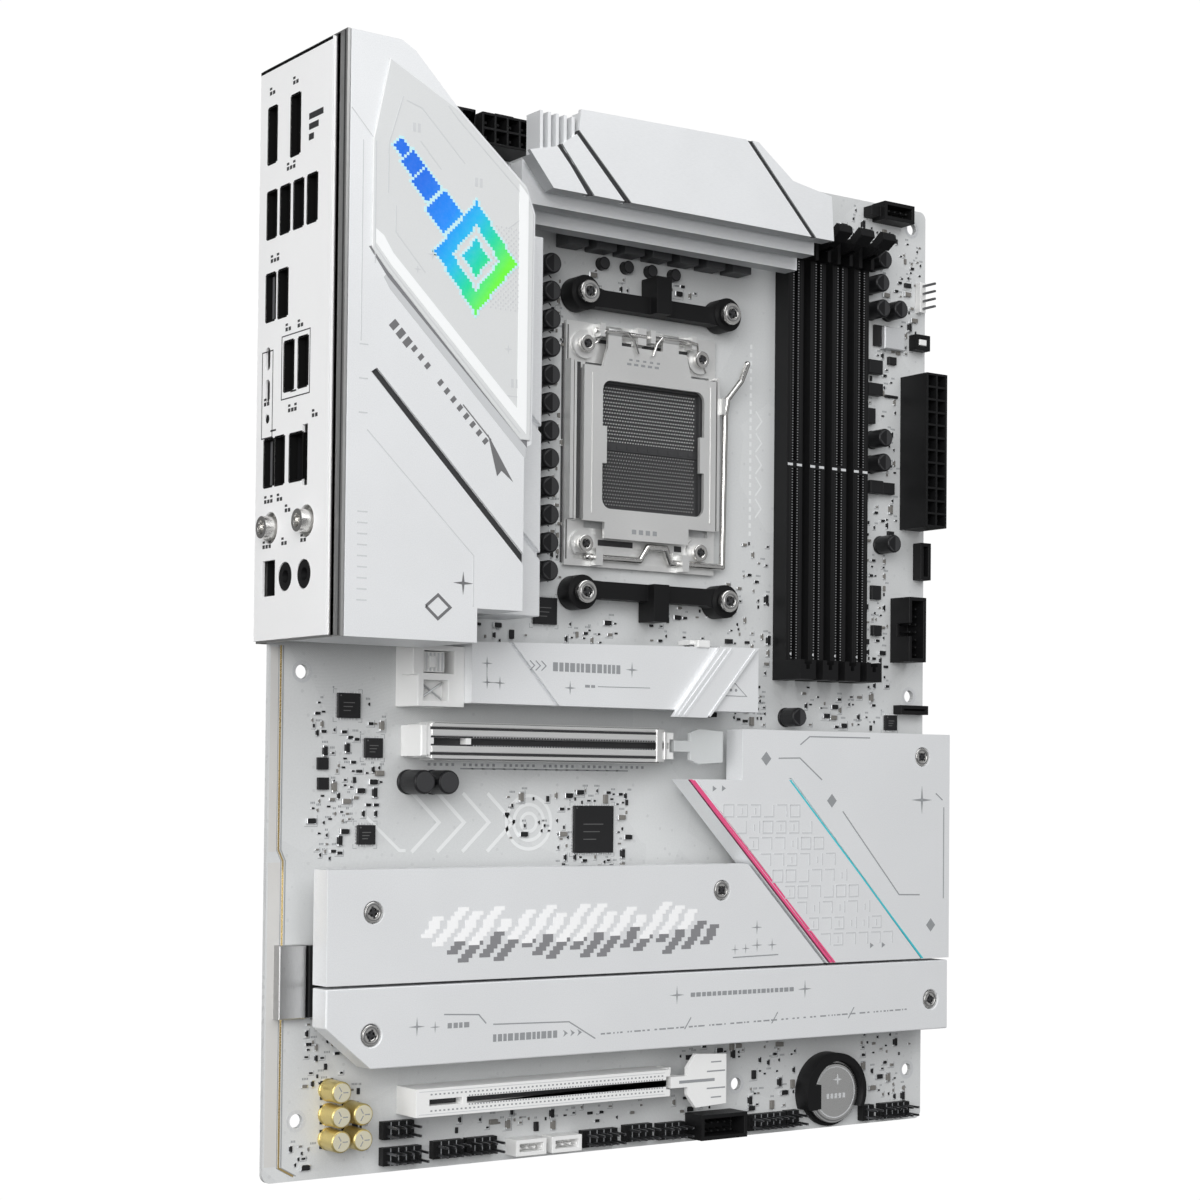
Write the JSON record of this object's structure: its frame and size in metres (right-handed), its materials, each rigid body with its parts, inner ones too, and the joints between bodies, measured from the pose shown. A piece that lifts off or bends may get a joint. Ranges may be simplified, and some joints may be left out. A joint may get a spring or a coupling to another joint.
{
  "type": "motherboard",
  "caption": "Full-size desktop motherboard with rear port panel, land-grid socket with lever, memory slots, heat sinks and expansion slots.",
  "frame": {"origin": "centre of the lower four mounting holes, on the solder side of the board", "axes": "+X from the rear port edge to the front edge, +Y from the expansion slots to the processor end, +Z out of the component side"},
  "size_m": [0.2494, 0.3078, 0.0489],
  "materials": {
    "laminate": "matt white solder mask with fine traces",
    "steel": "stamped stainless, satin",
    "dark_steel": "black coated steel",
    "nickel": "nickel plated screws and wire",
    "white_metal": "silvery white fine-grain lacquer on metal",
    "sink_metal": "bead blasted, light silver",
    "face_white": "smooth white print coat",
    "shield_metal": "bright sheet metal",
    "port_shell": "plated shell",
    "window_frost": "frosted translucent plastic",
    "black_plastic": "black glass-filled nylon",
    "socket_plastic": "dark liquid-crystal polymer",
    "white_plastic": "white moulded plastic",
    "clear_plastic": "milky translucent plastic",
    "package_black": "epoxy chip package",
    "cap_black": "black sleeved can",
    "choke_grey": "pressed iron powder",
    "pad_grey": "soft thermal pad",
    "cell_steel": "coin cell can",
    "audio_metal": "shield can"
  },
  "bodies": {
    "board": {"pcb": "laminate", "cpu_backplate": "dark_steel", "socket_housing": "socket_plastic", "socket_frame": "steel", "plate_hinge_pin": "nickel", "retention_screws": "nickel", "cooler_bracket_upper": "black_plastic", "cooler_bracket_lower": "black_plastic", "dimm_slot_1": "black_plastic", "dimm_slot_2": "black_plastic", "dimm_slot_3": "black_plastic", "dimm_slot_4": "black_plastic", "atx_power_connector": "black_plastic", "eps_power_connectors": "black_plastic", "vrm_heatsink_left": "sink_metal", "vrm_heatsink_top": "sink_metal", "thermal_pads": "pad_grey", "power_chokes": "choke_grey", "power_stages": "package_black", "capacitors": "cap_black", "io_shield": "shield_metal", "io_faceplate": "face_white", "io_cover": "white_metal", "io_window": "window_frost", "led_board": "laminate", "video_ports": "port_shell", "usb_stack_tall": "port_shell", "usb_stack_upper": "port_shell", "usb_stack_middle": "port_shell", "lan_usb_stack": "port_shell", "antenna_jacks": "nickel", "audio_jacks": "black_plastic", "m2_heatsink_upper": "white_metal", "m2_release_bracket": "white_plastic", "m2_connectors": "black_plastic", "m2_plate_upper": "white_metal", "m2_plate_lower": "white_metal", "chipset_heatsink": "white_metal", "chip_packages": "package_black", "heatsink_screws": "nickel", "pcie_slot_upper": "white_plastic", "pcie_jacket": "steel", "pcie_slot_lower": "white_plastic", "edge_headers": "black_plastic", "pin_headers": "black_plastic", "battery_holder": "black_plastic", "battery_cell": "cell_steel", "audio_section": "audio_metal"},
    "lever": {"socket_lever": "nickel"},
    "load_plate": {"load_plate": "steel"},
    "dimm_latch_1": {"dimm_latch_1": "black_plastic"},
    "dimm_latch_2": {"dimm_latch_2": "black_plastic"},
    "dimm_latch_3": {"dimm_latch_3": "black_plastic"},
    "dimm_latch_4": {"dimm_latch_4": "black_plastic"},
    "slot_latch_upper": {"pcie_latch_upper": "clear_plastic"},
    "slot_latch_lower": {"pcie_latch_lower": "white_plastic"},
    "release_slider": {"m2_release_slider": "white_plastic"},
    "drive_latch_1": {"m2_quick_latch_1": "white_plastic"},
    "drive_latch_2": {"m2_quick_latch_2": "white_plastic"},
    "flash_button": {"flash_button": "black_plastic"}
  },
  "joints": [
    {"name": "lever_hinge", "type": "hinge", "parent": "board", "child": "lever", "pos_m": [0.03207, 0.10026, 0.004], "axis": [1, 0, 0], "range_deg": [0, 115]},
    {"name": "load_plate_hinge", "type": "hinge", "parent": "board", "child": "load_plate", "pos_m": [0.00077, 0.16876, 0.0056], "axis": [-1, 0, 0], "range_deg": [0, 110]},
    {"name": "dimm_latch_1_hinge", "type": "hinge", "parent": "board", "child": "dimm_latch_1", "pos_m": [0.05797, 0.20576, 0.005], "axis": [-1, 0, 0], "range_deg": [0, 30]},
    {"name": "dimm_latch_2_hinge", "type": "hinge", "parent": "board", "child": "dimm_latch_2", "pos_m": [0.06728, 0.20576, 0.005], "axis": [-1, 0, 0], "range_deg": [0, 30]},
    {"name": "dimm_latch_3_hinge", "type": "hinge", "parent": "board", "child": "dimm_latch_3", "pos_m": [0.07658, 0.20576, 0.005], "axis": [-1, 0, 0], "range_deg": [0, 30]},
    {"name": "dimm_latch_4_hinge", "type": "hinge", "parent": "board", "child": "dimm_latch_4", "pos_m": [0.08588, 0.20576, 0.005], "axis": [-1, 0, 0], "range_deg": [0, 30]},
    {"name": "slot_latch_upper_hinge", "type": "hinge", "parent": "board", "child": "slot_latch_upper", "pos_m": [0.00877, 0.04361, 0.0046], "axis": [0, 1, 0], "range_deg": [0, 20], "stiffness_Nm_per_rad": 0.01},
    {"name": "slot_latch_lower_hinge", "type": "hinge", "parent": "board", "child": "slot_latch_lower", "pos_m": [0.00877, -0.05854, 0.0046], "axis": [0, 1, 0], "range_deg": [0, 20], "stiffness_Nm_per_rad": 0.01},
    {"name": "release_slide", "type": "slide", "parent": "board", "child": "release_slider", "axis": [1, 0, 0], "range_m": [0, 0.0022], "stiffness_N_per_m": 80},
    {"name": "drive_latch_1_turn", "type": "hinge", "parent": "board", "child": "drive_latch_1", "pos_m": [-0.09083, -0.00874, 0.0031], "axis": [0, 0, 1], "range_deg": [0, 90]},
    {"name": "drive_latch_2_turn", "type": "hinge", "parent": "board", "child": "drive_latch_2", "pos_m": [-0.09083, -0.03594, 0.0031], "axis": [0, 0, 1], "range_deg": [0, 90]},
    {"name": "flash_button_press", "type": "slide", "parent": "board", "child": "flash_button", "axis": [1, 0, 0], "range_m": [0, 0.0008], "stiffness_N_per_m": 300}
  ]
}
